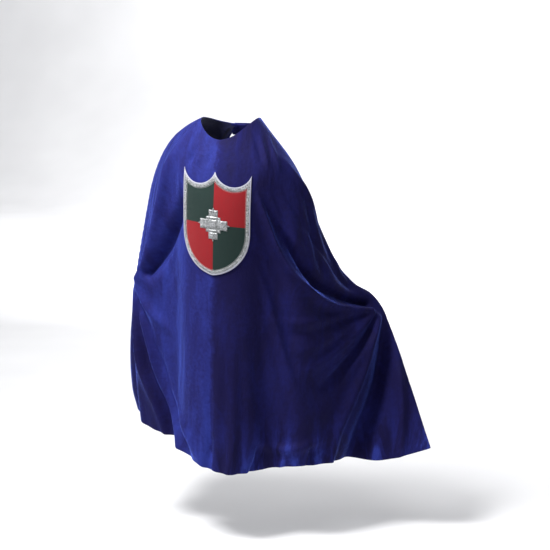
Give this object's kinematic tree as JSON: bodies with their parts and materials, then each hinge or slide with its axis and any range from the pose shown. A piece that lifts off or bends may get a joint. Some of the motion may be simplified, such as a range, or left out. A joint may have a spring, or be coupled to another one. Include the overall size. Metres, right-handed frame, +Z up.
{
  "type": "superhero cape",
  "caption": "Child dress-up cape: draped pile-cloth shell with satin lining, lapped hook-and-loop neck closure and a quartered shield patch on the back, worn with its front edges held out.",
  "frame": {"origin": "centre of the neck opening, level with its sides", "axes": "+Z up, +Y towards the wearer's front where the closure is, -Y towards the back with the shield, +X towards the wearer's right, all while the cape hangs on a wearer"},
  "size_m": [0.629, 0.2925, 0.6581],
  "materials": {
    "velour": "deep-pile royal blue velour, brushed nap with a soft sheen",
    "lining": "dark navy satin lining, smooth",
    "facing": "dark navy woven facing",
    "felt_red": "red satin-finish applique cloth",
    "felt_green": "dark green satin-finish applique cloth",
    "felt_grey": "grey felt backing",
    "lame": "glittering silver lame braid",
    "hook_tape": "woven hook tape",
    "loop_tape": "looped tape",
    "label": "white woven label tape, blank"
  },
  "bodies": {
    "cape_back": {"shell_left_back": "velour", "lining_left_back": "lining", "shell_right_back": "velour", "lining_right_back": "lining", "neck_facing": "facing", "shield_backing": "felt_grey", "shield_quarter_top_left": "felt_green", "shield_quarter_top_right": "felt_red", "shield_quarter_bottom_left": "felt_red", "shield_quarter_bottom_right": "felt_green", "shield_border": "lame", "shield_cross": "lame", "closure_under_tab": "velour", "closure_loop_strip": "loop_tape", "closure_flap_sewn_end": "velour"},
    "left_wing": {"shell_left_wing": "velour", "lining_left_wing": "lining"},
    "right_wing": {"shell_right_wing": "velour", "lining_right_wing": "lining"},
    "closure_flap": {"closure_flap": "velour", "closure_hook_strip": "hook_tape"},
    "care_label": {"care_label": "label"}
  },
  "joints": [
    {"name": "left_wing_swing", "type": "hinge", "parent": "cape_back", "child": "left_wing", "pos_m": [-0.0993, -0.049, -0.37], "axis": [0, 0, -1], "range_deg": [-20, 35]},
    {"name": "right_wing_swing", "type": "hinge", "parent": "cape_back", "child": "right_wing", "pos_m": [0.0993, -0.049, -0.39], "axis": [0, 0, 1], "range_deg": [-20, 35]},
    {"name": "closure_flap_peel", "type": "hinge", "parent": "cape_back", "child": "closure_flap", "pos_m": [0.013, 0.06901, -0.02361], "axis": [0, 0.454, -0.891], "range_deg": [0, 140]},
    {"name": "care_label_flip", "type": "hinge", "parent": "cape_back", "child": "care_label", "pos_m": [0, -0.0502, -0.0442], "axis": [1, 0, 0], "range_deg": [-25, 100]}
  ]
}
